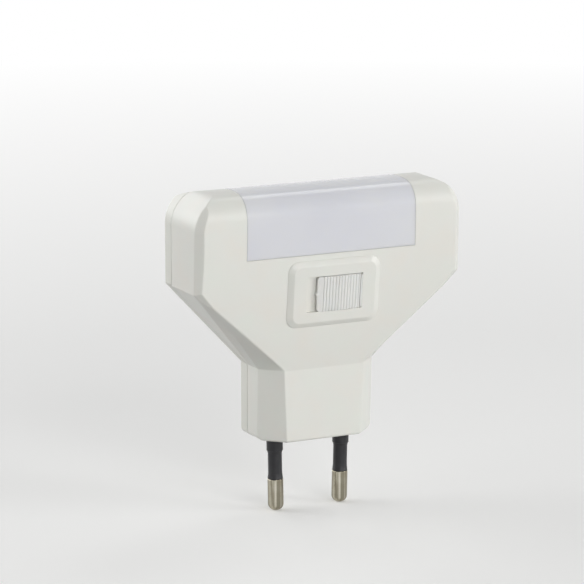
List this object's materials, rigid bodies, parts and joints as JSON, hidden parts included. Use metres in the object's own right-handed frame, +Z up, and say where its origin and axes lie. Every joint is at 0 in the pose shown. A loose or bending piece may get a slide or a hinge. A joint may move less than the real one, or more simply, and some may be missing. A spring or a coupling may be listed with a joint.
{
  "type": "plug-in night light",
  "caption": "Flat funnel-shaped plug-in night light with a translucent window over its top front edge, a ribbed slide switch below it and sleeved round mains pins under its neck.",
  "frame": {"origin": "middle of the plug face, on the line between the two pins", "axes": "+Z up and away from the pins, +Y to the rear, +X to the right seen from the front"},
  "size_m": [0.0726, 0.0236, 0.0836],
  "materials": {
    "housing": "warm white, satin moulded plastic",
    "diffuser": "translucent milky plastic",
    "button": "white moulded plastic",
    "sleeve": "dark grey insulating plastic",
    "pin": "nickel-plated, worn satin",
    "carrier": "plain moulded plastic",
    "reflector": "white",
    "board": "green solder mask",
    "led": "white case with a phosphor window",
    "film": "dipped",
    "can": "plain can",
    "chip": "black moulded case",
    "resistor": "lacquered",
    "live_wire": "brown insulation",
    "neutral_wire": "blue insulation",
    "switch_body": "black moulded case",
    "contact": "bare",
    "screw": "zinc plated"
  },
  "bodies": {
    "housing": {"front_cover": "housing", "rear_cover": "housing", "diffuser": "diffuser", "reflector": "reflector", "circuit_board": "board", "led_1": "led", "led_2": "led", "led_3": "led", "led_4": "led", "film_capacitor": "film", "smoothing_capacitor": "can", "bridge_rectifier": "chip", "resistors": "resistor", "plug_pin_left": "pin", "plug_pin_right": "pin", "pin_sleeve_left": "sleeve", "pin_sleeve_right": "sleeve", "pin_carrier": "carrier", "live_lead": "live_wire", "neutral_lead": "neutral_wire", "switch_lead": "live_wire", "switch_case": "switch_body", "switch_terminals": "contact", "housing_screws": "screw"},
    "slider": {"switch_slider": "button", "switch_lever": "switch_body", "moving_contact": "contact"}
  },
  "joints": [
    {"name": "switch_slide", "type": "slide", "parent": "housing", "child": "slider", "axis": [1, 0, 0], "range_m": [-0.0023, 0]}
  ]
}
